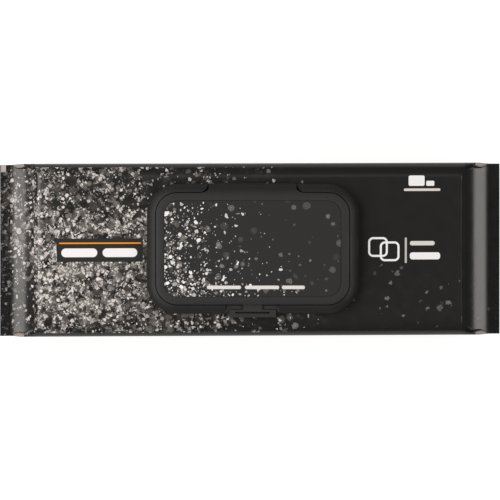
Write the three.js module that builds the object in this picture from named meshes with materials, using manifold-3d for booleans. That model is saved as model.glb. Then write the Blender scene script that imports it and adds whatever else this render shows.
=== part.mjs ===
// A pack of wet wipes: a flow-wrapped film pack with a moulded flip-top closure on its top face.
// Millimetres, +Z up. X runs along the pack, Y across it. The origin is at the middle of the footprint.
// The lid's hinge is at the rear, +Y, and its catch at the front, -Y.

import * as THREE from 'three';
import { mergeVertices } from 'three/addons/utils/BufferGeometryUtils.js';
import Module from 'manifold-3d';

// Film wrap
const packLength = 300;          // over both end fins
const packWidth = 103;
const packHeight = 50;
const filmWall = 0.5;
const longEdgeRadius = 9;        // the wrap's rounding along its four long edges
const finLength = 7.2;           // flat crimped end seal
const finWidth = 101.8;
const finThickness = 0.9;
const apronLength = 16.8;        // sloping end face, from the pack's shoulder to the fin
const apronSteps = 10;
const apronGrading = 1.6;        // more than 1 puts the steps closer together near the shoulder
const hollowEnd = 2.5;           // half of the apron's height at which the hollow inside it ends
const foldSteps = 4;             // from a corner of the section to the middle of its tuck
const wrapArcSteps = 3;
const foldWall = 0.8;            // film at the folded sides, where it lies double
const backSeamWidth = 14;        // folded-down fin seal under the pack
const backSeamDepth = 0.25;
const backSeamEdge = 0.8;
const mouthLength = 60;          // die-cut mouth in the film's top
const mouthWidth = 30;
const mouthRadius = 12;

// Wipes
const stackEndClearance = 1;     // between the wipes and the wrap's shoulders, at each end
const stackSideClearance = 1;    // between the wipes and the film, on each side
const wipeThickness = 0.8;
const peakLength = 34;           // pulled-up middle of the next wipe
const peakWidth = 14;
const peakHeight = 3.6;
const peakFlank = 0.45;          // share of the half length at which the peak's side rises
const peakSteps = 8;

// Glue between the film and the closure
const glueThickness = 0.4;
const glueMargin = 2;            // from the deck's edges to the glue's edges

// Closure
const capLength = 127;
const capWidth = 78;
const capCornerRadius = 18.3;
const capCentreX = 1.7;          // the closure sits a little to the right of the pack's middle
const capHeight = 9;
const crownReach = 9.2;          // how far in from the outline the rounded crown runs
const crownRise = 7;             // height of the rounded crown over the straight foot
const crownSteps = 6;
const wall = 1.2;                // moulded wall of frame and lid
const rimWidth = 5.2;            // frame rim, from the outline to the seam
const seamGap = 0.3;             // open seam between lid and frame

// Mouth of the closure's frame
const deckMouthLength = 68;
const deckMouthWidth = 38;
const deckMouthRadius = 14;
const collarWall = 1.2;
const collarHeight = 2;

// Lid
const skirtHeight = 4;           // bottom of the lid's skirt over the closure's base
const tongueWidth = 53.3;        // rear tongue, at the hinge
const shoulderRadius = 5;        // where the tongue flares into the lid
const hingeHeight = 1.5;         // hinge line over the closure's base
const swingLean = 1.6;           // undercut of the lid's rear edge, in mm forward for each mm down
const sealWall = 1;
const sealClearance = 0.4;       // between the lid's sealing ring and the frame's collar
const neckWidth = 11.8;
const barWidth = 28;
const barDepth = 4.4;
const barHeight = 2.6;
const barOverhang = 1.8;         // thumb lip, in front of the frame
const barDrop = 2.2;             // from the lid's top down to the bar's top
const lipHeight = 4.4;
const catchSlotLength = 20.4;
const catchSlotWidth = 1.2;
const recessWidth = 33;          // front recess of the frame, under neck and bar
const recessFloor = 2.8;

// Label
const labelLength = 105.9;
const labelWidth = 57.6;
const labelRadius = 8.6;
const labelThickness = 0.3;

// General
const contactGap = 0.3;          // between pieces that lie on each other
const overcut = 2;               // how far a cutting shape passes the surface that it cuts
const arcSteps = 4;              // curve divisions of a rounded corner

// Places worked out from the sizes above
const glueBase = packHeight + contactGap;
const capBase = glueBase + glueThickness + contactGap;
const deckTop = capBase + wall;
const capTop = capBase + capHeight;
const capRear = capWidth / 2;
const seamRear = capRear - rimWidth;
const stackBase = filmWall + contactGap;
const shoulderX = packLength / 2 - finLength - apronLength;
const stackLength = 2 * (shoulderX - stackEndClearance);
const stackWidth = packWidth - 2 * (filmWall + stackSideClearance);
const stackCornerRadius = longEdgeRadius - filmWall;
const wipeTop = packHeight - filmWall - contactGap;
const wipeBase = wipeTop - wipeThickness;
const stackTop = wipeBase - contactGap;

const wasm = await Module();
wasm.setup();

function solidOf(geometry) {
  const bare = geometry.clone();
  bare.deleteAttribute('normal');
  bare.deleteAttribute('uv');
  const merged = mergeVertices(bare, 1e-4);
  const mesh = new wasm.Mesh({
    numProp: 3,
    vertProperties: new Float32Array(merged.attributes.position.array),
    triVerts: new Uint32Array(merged.index.array),
  });
  return new wasm.Manifold(mesh);
}

function geometryOf(solid) {
  const mesh = solid.getMesh();
  const geometry = new THREE.BufferGeometry();
  geometry.setAttribute('position', new THREE.BufferAttribute(mesh.vertProperties, 3));
  geometry.setIndex(new THREE.BufferAttribute(mesh.triVerts, 1));
  geometry.computeVertexNormals();
  return geometry;
}

function roundedOutline(length, width, radius) {
  const x = length / 2 - radius;
  const y = width / 2 - radius;
  const outline = new THREE.Shape();
  outline.absarc(x, y, radius, 0, Math.PI / 2);
  outline.absarc(-x, y, radius, Math.PI / 2, Math.PI);
  outline.absarc(-x, -y, radius, Math.PI, 1.5 * Math.PI);
  outline.absarc(x, -y, radius, 1.5 * Math.PI, 2 * Math.PI);
  outline.closePath();
  return outline;
}

function prism(outline, bottom, top) {
  const options = { depth: top - bottom, bevelEnabled: false, curveSegments: arcSteps };
  return solidOf(new THREE.ExtrudeGeometry(outline, options).translate(0, 0, bottom));
}

function box(x, y, z) {
  const geometry = new THREE.BoxGeometry(x[1] - x[0], y[1] - y[0], z[1] - z[0]);
  return solidOf(geometry.translate((x[0] + x[1]) / 2, (y[0] + y[1]) / 2, (z[0] + z[1]) / 2));
}

// Joins cross-sections with equal numbers of points into one closed skin along X.
function loft(sections) {
  const count = sections[0].points.length;
  const positions = [];
  const faces = [];
  for (const section of sections) {
    for (const point of section.points) {
      positions.push(section.x, point.x, point.y);
    }
  }
  for (let s = 0; s + 1 < sections.length; s += 1) {
    for (let i = 0; i < count; i += 1) {
      const next = (i + 1) % count;
      const here = s * count;
      const there = here + count;
      faces.push(here + i, here + next, there + i);
      faces.push(here + next, there + next, there + i);
    }
  }
  const lastStart = (sections.length - 1) * count;
  for (const face of THREE.ShapeUtils.triangulateShape(sections[0].points, [])) {
    faces.push(face[0], face[2], face[1]);
  }
  for (const face of THREE.ShapeUtils.triangulateShape(sections.at(-1).points, [])) {
    faces.push(lastStart + face[0], lastStart + face[1], lastStart + face[2]);
  }
  const geometry = new THREE.BufferGeometry();
  geometry.setAttribute('position', new THREE.Float32BufferAttribute(positions, 3));
  geometry.setIndex(faces);
  return solidOf(geometry);
}

// Cross-section of the wrap, counter-clockwise about the fins' height. Each side runs in to a tuck, in
// short steps, because the folded sides twist on their way to the fin.
function wrapSection(halfWidth, halfHeight, radius, tuckY) {
  const middle = packHeight / 2;
  const outline = new THREE.Shape();
  const arcY = halfWidth - radius;
  const arcZ = halfHeight - radius;
  const foldSide = (side) => {
    for (let step = 1; step < 2 * foldSteps; step += 1) {
      const share = side * (step / foldSteps - 1);
      const y = tuckY + (halfWidth - tuckY) * Math.abs(share);
      outline.lineTo(side * y, middle + share * arcZ);
    }
  };
  outline.absarc(arcY, middle + arcZ, radius, 0, Math.PI / 2);
  outline.absarc(-arcY, middle + arcZ, radius, Math.PI / 2, Math.PI);
  foldSide(-1);
  outline.absarc(-arcY, middle - arcZ, radius, Math.PI, 1.5 * Math.PI);
  outline.absarc(arcY, middle - arcZ, radius, 1.5 * Math.PI, 2 * Math.PI);
  foldSide(1);
  return outline.getPoints(wrapArcSteps);
}

// Half of the wrap's stations, from the shoulder out to the root of the fin. The apron is a parabola that
// meets the fin level. Each side of the film, as long as the pack is high, folds in as the height shrinks.
function wrapStations() {
  const side = packHeight / 2;
  const finHalf = finThickness / 2;
  const stations = [];
  for (let step = 0; step <= apronSteps; step += 1) {
    const along = (step / apronSteps) ** apronGrading;
    const rise = (1 - along) ** 2;
    const halfHeight = finHalf + (side - finHalf) * rise;
    stations.push({
      x: shoulderX + apronLength * along,
      halfHeight,
      halfWidth: (finWidth + (packWidth - finWidth) * rise) / 2,
      radius: finHalf / 2 + (longEdgeRadius - finHalf / 2) * rise,
      tuck: Math.sqrt(side ** 2 - halfHeight ** 2),
    });
  }
  return stations;
}

function outerSections() {
  const sections = wrapStations().map((station) => ({
    x: station.x,
    points: wrapSection(station.halfWidth, station.halfHeight, station.radius,
      station.halfWidth - station.tuck),
  }));
  const finHalf = finThickness / 2;
  const fin = wrapSection(finWidth / 2, finHalf, finHalf / 2, finWidth / 2);
  sections.push({ x: packLength / 2 - finLength + finThickness, points: fin });
  sections.push({ x: packLength / 2, points: fin });
  return sections;
}

// The hollow keeps the film's wall to every outer face, and ends where the folds close on each other.
function innerSections() {
  const sections = [];
  for (const station of wrapStations()) {
    if (station.halfHeight > hollowEnd) {
      const lean = Math.atan2(station.halfHeight - station.radius, station.tuck);
      const tuckY = station.halfWidth - station.tuck - foldWall / Math.sin(lean);
      const radius = Math.max(station.radius - filmWall, filmWall / 2);
      const cornerRise = station.halfHeight - filmWall - radius;
      const halfWidth = tuckY + cornerRise / Math.tan(lean);
      sections.push({
        x: station.x - filmWall,
        points: wrapSection(halfWidth, station.halfHeight - filmWall, radius, tuckY),
      });
    }
  }
  return sections;
}

function mirrored(half) {
  const other = half.map((section) => ({ x: -section.x, points: section.points }));
  return [...other.reverse(), ...half];
}

function makeFilmWrap() {
  const mouth = roundedOutline(mouthLength, mouthWidth, mouthRadius);
  const mouthCut = prism(mouth, wipeTop - overcut, packHeight + overcut).translate([capCentreX, 0, 0]);
  let wrap = loft(mirrored(outerSections())).subtract(loft(mirrored(innerSections())));
  wrap = wrap.subtract(mouthCut);
  for (const side of [-1, 1]) {
    const y = side * backSeamWidth / 2;
    wrap = wrap.subtract(box([-shoulderX, shoulderX], [y - backSeamEdge / 2, y + backSeamEdge / 2],
      [-overcut, backSeamDepth]));
  }
  return geometryOf(wrap);
}

function makeWipesStack() {
  const outline = roundedOutline(stackWidth, stackTop - stackBase, stackCornerRadius);
  const options = { depth: stackLength, bevelEnabled: false, curveSegments: arcSteps };
  const block = new THREE.ExtrudeGeometry(outline, options);
  block.translate(0, 0, -stackLength / 2);
  block.rotateX(Math.PI / 2);
  block.rotateZ(Math.PI / 2);
  return block.translate(0, 0, (stackTop + stackBase) / 2);
}

function makeTopWipe() {
  const outline = roundedOutline(stackLength, stackWidth - 2 * stackCornerRadius, stackCornerRadius);
  const sheet = prism(outline, wipeBase, wipeTop);
  const slope = new THREE.CubicBezierCurve(
    new THREE.Vector2(1, 0),
    new THREE.Vector2(peakFlank, 0),
    new THREE.Vector2(peakFlank, peakHeight),
    new THREE.Vector2(0, peakHeight),
  );
  const foot = -wipeThickness / 2;
  const profile = [new THREE.Vector2(0, foot), new THREE.Vector2(1, foot), ...slope.getPoints(peakSteps)];
  const peak = new THREE.LatheGeometry(profile, 4 * peakSteps);
  peak.rotateX(Math.PI / 2);
  peak.scale(peakLength / 2, peakWidth / 2, 1);
  peak.translate(capCentreX, 0, wipeTop);
  return geometryOf(sheet.add(solidOf(peak)));
}

function makeGlueRing() {
  const inset = 2 * (rimWidth + wall + glueMargin);
  const outer = roundedOutline(capLength - inset, capWidth - inset, capCornerRadius - inset / 2);
  const spare = 2 * (collarWall + glueMargin);
  outer.holes.push(roundedOutline(deckMouthLength + spare, deckMouthWidth + spare,
    deckMouthRadius + spare / 2));
  const options = { depth: glueThickness, bevelEnabled: false, curveSegments: arcSteps };
  return new THREE.ExtrudeGeometry(outer, options).translate(capCentreX, 0, glueBase);
}

// The closure's outer form, shared by frame and lid: a straight foot under an elliptical crown.
// With an inset it is the room inside that form, open below.
function capForm(inset) {
  const reach = crownReach - inset;
  const top = roundedOutline(capLength - 2 * crownReach, capWidth - 2 * crownReach,
    capCornerRadius - crownReach);
  const options = {
    depth: 2 * overcut,
    bevelEnabled: true,
    bevelThickness: crownRise - inset / 2,
    bevelSize: reach,
    bevelSegments: crownSteps,
    curveSegments: arcSteps,
  };
  const crown = solidOf(new THREE.ExtrudeGeometry(top, options));
  const crownFoot = capHeight - crownRise - inset / 2;
  const form = crown.translate([0, 0, capBase + crownFoot - 2 * overcut]);
  const foot = prism(roundedOutline(capLength - 2 * inset, capWidth - 2 * inset, capCornerRadius - inset),
    capBase - overcut, capBase + crownFoot);
  const low = inset > 0 ? capBase - overcut : capBase;
  const below = box([-capLength, capLength], [-capWidth, capWidth], [low - 2 * capHeight, low]);
  return form.add(foot).subtract(below);
}

// Outline of the lid in plan: the seam's rounded rectangle with the rear tongue that reaches the hinge.
// A positive grow moves the whole outline outwards. The tongue runs on to the rear.
function seamOutline(grow, rear = capRear + overcut) {
  const halfX = capLength / 2 - rimWidth + grow;
  const halfY = seamRear + grow;
  const radius = capCornerRadius - rimWidth + grow;
  const halfTongue = tongueWidth / 2 + grow;
  const flare = shoulderRadius - grow;
  const outline = new THREE.Shape();
  outline.absarc(halfX - radius, -halfY + radius, radius, 1.5 * Math.PI, 2 * Math.PI);
  outline.absarc(halfX - radius, halfY - radius, radius, 0, Math.PI / 2);
  outline.absarc(halfTongue + flare, halfY + flare, flare, 1.5 * Math.PI, Math.PI, true);
  outline.lineTo(halfTongue, rear);
  outline.lineTo(-halfTongue, rear);
  outline.absarc(-halfTongue - flare, halfY + flare, flare, 0, -Math.PI / 2, true);
  outline.absarc(-halfX + radius, halfY - radius, radius, Math.PI / 2, Math.PI);
  outline.absarc(-halfX + radius, -halfY + radius, radius, Math.PI, 1.5 * Math.PI);
  outline.closePath();
  return outline;
}

function makeFrame() {
  const above = capTop + overcut;
  const below = capBase - overcut;
  let frame = capForm(0).subtract(prism(seamOutline(seamGap / 2), deckTop, above));
  const recess = box([-recessWidth / 2, recessWidth / 2], [-capWidth, -seamRear + wall],
    [capBase + recessFloor, above]);
  const recessBlock = box([-recessWidth / 2 - wall, recessWidth / 2 + wall], [-capWidth, 0],
    [below, above]);
  const rimHollow = capForm(wall).subtract(prism(seamOutline(seamGap / 2 + wall), below, above));
  frame = frame.subtract(rimHollow.subtract(recessBlock));
  const collar = prism(roundedOutline(deckMouthLength + 2 * collarWall, deckMouthWidth + 2 * collarWall,
    deckMouthRadius + collarWall), deckTop - wall / 2, deckTop + collarHeight);
  const mouth = prism(roundedOutline(deckMouthLength, deckMouthWidth, deckMouthRadius), below, above);
  const slotMiddle = -capRear + catchSlotWidth;
  const catchHalf = catchSlotWidth / 2 - contactGap;
  const catchRib = box([-catchSlotLength / 2 + contactGap, catchSlotLength / 2 - contactGap],
    [slotMiddle - catchHalf, slotMiddle + catchHalf],
    [capBase + recessFloor - wall, capTop - barDrop - contactGap]);
  frame = frame.subtract(recess).add(collar).subtract(mouth).add(catchRib);
  return geometryOf(frame.translate([capCentreX, 0, 0]));
}

// Rear rim regions beside the tongue, leaning forward as they go down, so that the lid's rear edge is
// undercut and swings up past the frame.
function swingRelief() {
  const region = box([-capLength, capLength], [seamRear - capCornerRadius, 2 * capRear], [0, capHeight]);
  const tongue = prism(seamOutline(-seamGap / 2, 2 * capRear + overcut), -overcut, capHeight + overcut);
  const relief = region.subtract(tongue);
  const crownAtSeam = capHeight - crownRise
    + crownRise * Math.sqrt(1 - ((crownReach - rimWidth) / crownReach) ** 2);
  const leaning = new THREE.Matrix4().makeShear(0, 0, 0, 0, 0, swingLean);
  return relief.translate([0, 0, -crownAtSeam]).transform(leaning.elements)
    .translate([0, 0, crownAtSeam + capBase]);
}

function makeThumbBar() {
  const top = capTop - barDrop;
  const front = -capRear - barOverhang;
  const lid = -seamRear + seamGap;
  const bar = box([-barWidth / 2, barWidth / 2], [front, front + barDepth], [top - barHeight, top]);
  const lip = box([-barWidth / 2, barWidth / 2], [front, -capRear - contactGap], [top - lipHeight, top]);
  const neck = box([-neckWidth / 2, neckWidth / 2], [front + barDepth / 2, lid + wall],
    [top - barHeight, top]);
  const slotMiddle = -capRear + catchSlotWidth;
  const slot = box([-catchSlotLength / 2, catchSlotLength / 2],
    [slotMiddle - catchSlotWidth / 2, slotMiddle + catchSlotWidth / 2],
    [top - barHeight - overcut, top + overcut]);
  return bar.add(lip).add(neck).subtract(slot);
}

function makeLid() {
  const above = capTop + overcut;
  const hingeLine = capBase + hingeHeight + contactGap;
  const skirtBottom = capBase + skirtHeight;
  const plug = capForm(0).intersect(prism(seamOutline(-seamGap / 2), hingeLine, above));
  const underSkirt = box([-capLength, capLength], [-capWidth, seamRear - wall],
    [capBase - overcut, skirtBottom]);
  const besideTongue = [-1, 1].map((side) => {
    const near = side * (tongueWidth / 2);
    const far = side * capLength;
    return box([Math.min(near, far), Math.max(near, far)], [-capWidth, capWidth],
      [capBase - overcut, skirtBottom]);
  });
  const hollow = capForm(wall).intersect(prism(seamOutline(-seamGap / 2 - wall), capBase - overcut, above));
  const inner = sealClearance + collarWall;
  const outer = inner + sealWall;
  const ringOutline = roundedOutline(deckMouthLength + 2 * outer, deckMouthWidth + 2 * outer,
    deckMouthRadius + outer);
  ringOutline.holes.push(roundedOutline(deckMouthLength + 2 * inner, deckMouthWidth + 2 * inner,
    deckMouthRadius + inner));
  const seal = prism(ringOutline, deckTop + contactGap, capTop - wall / 2);
  let lid = plug.subtract(underSkirt);
  for (const side of besideTongue) {
    lid = lid.subtract(side);
  }
  lid = lid.subtract(hollow).subtract(swingRelief()).add(makeThumbBar()).add(seal);
  const seat = roundedOutline(labelLength + 2 * contactGap, labelWidth + 2 * contactGap,
    labelRadius + contactGap);
  lid = lid.subtract(prism(seat, capTop - labelThickness - contactGap, above));
  return geometryOf(lid.translate([capCentreX, 0, 0]));
}

function makeLabel() {
  const outline = roundedOutline(labelLength, labelWidth, labelRadius);
  const options = { depth: labelThickness, bevelEnabled: false, curveSegments: arcSteps };
  return new THREE.ExtrudeGeometry(outline, options).translate(capCentreX, 0, capTop - labelThickness);
}

const printedFilm = new THREE.MeshStandardMaterial({ color: '#262626', roughness: 0.42, metalness: 0 });
const wetCloth = new THREE.MeshStandardMaterial({ color: '#f1f1ec', roughness: 0.7, metalness: 0 });
const hotMelt = new THREE.MeshStandardMaterial({ color: '#d9cfae', roughness: 0.5, metalness: 0 });
const mouldedCap = new THREE.MeshStandardMaterial({ color: '#2a2a2a', roughness: 0.45, metalness: 0 });
const printedLabel = new THREE.MeshStandardMaterial({ color: '#363635', roughness: 0.5, metalness: 0 });

const group = new THREE.Group();

function addPiece(name, geometry, material) {
  const mesh = new THREE.Mesh(geometry, material);
  mesh.name = name;
  group.add(mesh);
}

addPiece('film_wrap', makeFilmWrap(), printedFilm);
addPiece('wipes_stack', makeWipesStack(), wetCloth);
addPiece('top_wipe', makeTopWipe(), wetCloth);
addPiece('glue_ring', makeGlueRing(), hotMelt);
addPiece('cap_frame', makeFrame(), mouldedCap);
addPiece('cap_lid', makeLid(), mouldedCap);
addPiece('lid_label', makeLabel(), printedLabel);

export default group;
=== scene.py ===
import math
import random
from collections import namedtuple
import bpy
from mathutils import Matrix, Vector, noise


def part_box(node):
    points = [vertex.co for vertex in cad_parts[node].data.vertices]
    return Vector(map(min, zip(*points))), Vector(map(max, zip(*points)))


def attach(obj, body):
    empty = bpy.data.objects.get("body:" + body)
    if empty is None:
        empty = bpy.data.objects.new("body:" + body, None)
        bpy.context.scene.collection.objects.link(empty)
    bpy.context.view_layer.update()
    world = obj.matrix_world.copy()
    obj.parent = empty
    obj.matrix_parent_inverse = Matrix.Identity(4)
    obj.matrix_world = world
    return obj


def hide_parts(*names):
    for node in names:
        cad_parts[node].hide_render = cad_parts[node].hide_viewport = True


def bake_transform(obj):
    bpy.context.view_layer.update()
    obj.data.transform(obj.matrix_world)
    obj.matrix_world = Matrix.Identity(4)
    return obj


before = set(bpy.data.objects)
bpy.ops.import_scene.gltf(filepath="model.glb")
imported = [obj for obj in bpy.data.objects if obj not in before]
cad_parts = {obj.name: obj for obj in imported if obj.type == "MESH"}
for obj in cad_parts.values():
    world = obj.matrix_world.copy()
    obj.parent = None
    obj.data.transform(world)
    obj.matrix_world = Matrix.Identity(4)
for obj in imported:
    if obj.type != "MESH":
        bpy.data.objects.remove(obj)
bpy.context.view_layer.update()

# Camera
# The photograph looks straight down on the pack with no perspective to speak of. The picture is 500 pixels
# wide, the pack fills nearly all of it, and its middle lies a little above the picture's middle.
picture_width = 0.3003
camera_height = 0.9
camera_shift = Vector((0.00015, -0.00075, camera_height))

bpy.ops.object.camera_add(location=camera_shift, rotation=(0, 0, 0))
camera = bpy.context.object
camera.name = "camera"
camera.data.type = "ORTHO"
camera.data.ortho_scale = picture_width
bpy.context.scene.camera = camera


# Printed film wrap
# One web of black printed laminate, folded round the wipes into a tube, with a lengthwise seam folded down
# under the pack, tucked sides at both ends, a flat crimped seal outside each and a die-cut mouth in its top.
film_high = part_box("film_wrap")[1]
film_middle_z = film_high.z / 2
film_thickness = 0.00028
long_edge_radius = 0.009
shoulder_x = 0.1274
soft_shoulder = (0.0042, 0.27)  # the left end's top slopes down over this length to this slope
crisp_shoulder = (0.0015, 0.1)  # and the right end's, which is drawn tighter
end_slope = 0.9                 # of the film above and below the end wall, as rise over run
end_wall_x = 0.1296             # the film stands upright here, a little outside the ends of the wipes
apron_level_x = 0.1444          # the curve below the wall would end level here, outside the fin's inner edge
apron_curve = 53.6              # change of slope per metre along that curve
narrowing_share = 1 / 3         # part of the sloping end over which the tube narrows to the fin's width
edge_draw_in = 0.0024           # how far the upper film's edge draws in over each tuck
edge_draw_start = 0.4           # share of the sloping end at which that starts
fin_inner_x = 0.1433
fin_half_width = 0.0509
fin_half_height = 0.00045
fin_edge_radius = 0.000225
rib_pitch = 0.001
rib_depth = 0.000018
stations_per_rib = 6
web_steps_along = 66
shoulder_stations = 8
chamfer_stations = 4
wall_stations = 8
apron_stations = 24
flat_steps = 16
edge_steps = 9
side_steps = 8
askew_turn = 0.0038             # the pack's body lies turned by this slope under its level closure
askew_shift = -0.00045
left_swell = 0.0085             # share by which its left end is wider than the frame's film
right_swell = 0.003
cap_middle_x = 0.0017
glued_half_size = (0.06, 0.036)
wave_fade = 0.012               # the film's waves grow to their depth over this length beside the closure
wave_free_height = 0.002        # half the height between upper and lower film at which waves start
wave_full_height = 0.012
slow_wave_pitch = (0.045, 0.03)
slow_wave_depth = 0.00022
quick_wave_pitch = (0.011, 0.017)
quick_wave_depth = 0.00005
mouth_size = (0.06, 0.03)
mouth_radius = 0.012
corner_segments = 14
overcut = 0.002                 # how far a cutting tool reaches past what it cuts
Station = namedtuple("Station", "place half_width half_height radius tuck drawn_in lift")


def clear_selection():
    bpy.ops.object.select_all(action="DESELECT")


def name_piece(name):
    piece = bpy.context.object
    piece.name = name
    piece.data.name = name
    return piece


def make_active(piece):
    clear_selection()
    piece.select_set(True)
    bpy.context.view_layer.objects.active = piece


def select_parts(piece, kind, chosen):
    """In edit mode, selects the piece's faces by centre and normal, or its edges by their two ends."""
    bpy.ops.mesh.select_mode(type=kind)
    bpy.ops.mesh.select_all(action="DESELECT")
    bpy.ops.object.mode_set(mode="OBJECT")
    mesh = piece.data
    if kind == "FACE":
        for face in mesh.polygons:
            face.select = chosen(face.center, face.normal)
    else:
        for edge in mesh.edges:
            ends = [mesh.vertices[i].co for i in edge.vertices]
            edge.select = chosen(*ends)
    bpy.ops.object.mode_set(mode="EDIT")


def upright(a, b):
    return abs(a.x - b.x) < 1e-6 and abs(a.y - b.y) < 1e-6


def add_slab(name, low, high):
    """A box between two corners, with its place in its mesh."""
    clear_selection()
    middle = [(a + b) / 2 for a, b in zip(low, high)]
    size = [b - a for a, b in zip(low, high)]
    bpy.ops.mesh.primitive_cube_add(size=1, location=middle, scale=size)
    bpy.ops.object.transform_apply(location=True, rotation=True, scale=True)
    return name_piece(name)


def add_rounded_slab(name, size, radius, bottom, top):
    """A slab centred on the closure, with its four upright edges rounded."""
    low = (cap_middle_x - size[0] / 2, -size[1] / 2, bottom)
    high = (cap_middle_x + size[0] / 2, size[1] / 2, top)
    slab = add_slab(name, low, high)
    bpy.ops.object.mode_set(mode="EDIT")
    select_parts(slab, "EDGE", upright)
    bpy.ops.mesh.bevel(offset=radius, segments=corner_segments, affect="EDGES")
    bpy.ops.object.mode_set(mode="OBJECT")
    return slab


def apply_modifier(piece, kind, **settings):
    make_active(piece)
    modifier = piece.modifiers.new(kind.lower(), kind)
    for setting, value in settings.items():
        setattr(modifier, setting, value)
    bpy.ops.object.modifier_apply(modifier=modifier.name)


def combine(piece, tool, operation):
    """Cuts the tool out of the piece, joins it on, or keeps what both fill. The tool is then used up."""
    apply_modifier(piece, "BOOLEAN", object=tool, operation=operation, solver="EXACT")
    bpy.data.objects.remove(tool)


def shade(piece, degrees):
    """Smooth shading up to this angle, in which a large flat face beside a rounded edge still looks flat."""
    make_active(piece)
    bpy.ops.object.shade_smooth_by_angle(angle=math.radians(degrees))
    apply_modifier(piece, "WEIGHTED_NORMAL", keep_sharp=True)


def linear(colour):
    """An sRGB hex colour as the linear values that Blender works in."""
    channels = [int(colour[i:i + 2], 16) / 255 for i in (1, 3, 5)]
    return [c / 12.92 if c <= 0.04045 else ((c + 0.055) / 1.055) ** 2.4 for c in channels] + [1]


def add_node(tree, kind, *inputs, named=None, **settings):
    """Adds a node and gives its first output. An input is a value or another node's output."""
    node = tree.nodes.new("ShaderNode" + kind)
    for setting, value in settings.items():
        setattr(node, setting, value)
    for socket, value in list(enumerate(inputs)) + list((named or {}).items()):
        if isinstance(value, bpy.types.NodeSocket):
            tree.links.new(value, node.inputs[socket])
        elif value is not None:
            node.inputs[socket].default_value = value
    return next((output for output in node.outputs if output.enabled), None)


def new_material(name):
    made = bpy.data.materials.new(name)
    made.use_nodes = True
    made.node_tree.nodes.clear()
    return made, made.node_tree


def finish_material(tree, shader):
    add_node(tree, "OutputMaterial", shader)


def give_finish(piece, material):
    piece.data.materials.clear()
    piece.data.materials.append(material)


def quarter_section(half_width, half_height, radius, tuck):
    """From the middle of a face to the fold in the side: a flat stretch, a rounded edge, the tucked side."""
    points = []
    for step in range(flat_steps):
        points.append(((half_width - radius) * step / flat_steps, half_height))
    for step in range(edge_steps):
        turn = step / edge_steps * math.pi / 2
        points.append((half_width - radius + radius * math.sin(turn),
                       half_height - radius + radius * math.cos(turn)))
    for step in range(side_steps + 1):
        share = step / side_steps
        points.append((half_width - tuck * share, (half_height - radius) * (1 - share)))
    return points


def wrap_section(station):
    """The whole way round the tube, from the back seam to the back seam."""
    width, height, radius = station.half_width, station.half_height, station.radius
    drawn_in = station.drawn_in
    lower = quarter_section(width, height, radius, station.tuck)
    upper = quarter_section(width - drawn_in, height, radius, max(station.tuck - drawn_in, 0))
    ring = [(y, -z) for y, z in lower]
    ring += [(y, z) for y, z in upper[-2::-1]]
    ring += [(-y, z) for y, z in upper[1:]]
    ring += [(-y, -z) for y, z in lower[-2::-1]]
    return ring


def apron_half_height(x):
    """Half the height between upper and lower film outside the end wall: a steady slope, then a curve."""
    bend = max(x, apron_level_x - end_slope / apron_curve)
    curved = apron_curve / 2 * ((apron_level_x - bend) ** 2 - (apron_level_x - fin_inner_x) ** 2)
    return fin_half_height + curved + end_slope * (bend - x)


def end_outline(shoulder):
    """Place and half height of the sections of one end, outwards: shoulder, chamfer, wall and apron."""
    run, fall = shoulder
    crease = film_middle_z - fall * run / 2
    wall_top = crease - end_slope * (end_wall_x - shoulder_x)
    wall_foot = apron_half_height(end_wall_x)
    made = []
    for step in range(shoulder_stations):
        out = run * step / shoulder_stations
        made.append((shoulder_x - run + out, film_middle_z - fall / run * out ** 2 / 2))
    for step in range(chamfer_stations):
        out = (end_wall_x - shoulder_x) * step / chamfer_stations
        made.append((shoulder_x + out, crease - end_slope * out))
    for step in range(wall_stations):
        made.append((end_wall_x, wall_top + (wall_foot - wall_top) * step / wall_stations))
    for step in range(apron_stations):
        x = end_wall_x + (fin_inner_x - end_wall_x) * step / apron_stations
        made.append((x, apron_half_height(x)))
    return made


def half_stations(shoulder):
    """The sections of one end, from the pack's middle outwards."""
    made = []
    top_end = shoulder_x - shoulder[0]
    top_steps = web_steps_along // 2
    for step in range(top_steps):
        place = top_end * step / top_steps
        made.append(Station(place, film_high.y, film_middle_z, long_edge_radius, 0, 0, 0))
    for x, half_height in end_outline(shoulder):
        along = max(x - shoulder_x, 0) / (fin_inner_x - shoulder_x)
        left = 1 - along
        radius = fin_edge_radius + (long_edge_radius - fin_edge_radius) * left ** 2
        tuck = math.sqrt(max(film_middle_z ** 2 - half_height ** 2, 0))
        half_width = fin_half_width + (film_high.y - fin_half_width) * min(1, left / narrowing_share)
        drawn_share = max(along - edge_draw_start, 0) / (1 - edge_draw_start)
        drawn_in = edge_draw_in * math.sin(math.pi * drawn_share)
        made.append(Station(x, half_width, half_height, radius, tuck, drawn_in, 0))
    ribs = round((film_high.x - fin_inner_x) / rib_pitch)
    fin_steps = ribs * stations_per_rib
    for step in range(fin_steps + 1):
        place = fin_inner_x + (film_high.x - fin_inner_x) * step / fin_steps
        lift = rib_depth * math.sin(2 * math.pi * step / stations_per_rib)
        made.append(Station(place, fin_half_width, fin_half_height, fin_edge_radius, 0, 0, lift))
    return made


def unroll_web(stations, rings):
    """Each section point's place on the flat web: along it from the pack's middle, and across it from the
    middle of the top."""
    along = [0.0]
    for before, station in zip(stations, stations[1:]):
        step = math.hypot(station.place - before.place, station.half_height - before.half_height)
        along.append(along[-1] + step)
    flat = {}
    for column, ring in enumerate(rings):
        around = [0.0]
        for before, point in zip(ring, ring[1:]):
            around.append(around[-1] + math.dist(point, before))
        top_middle = around[len(ring) // 2]
        for row, round_way in enumerate(around):
            flat[column, row] = (along[column] - along[-1] / 2, top_middle - round_way)
    return flat


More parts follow.
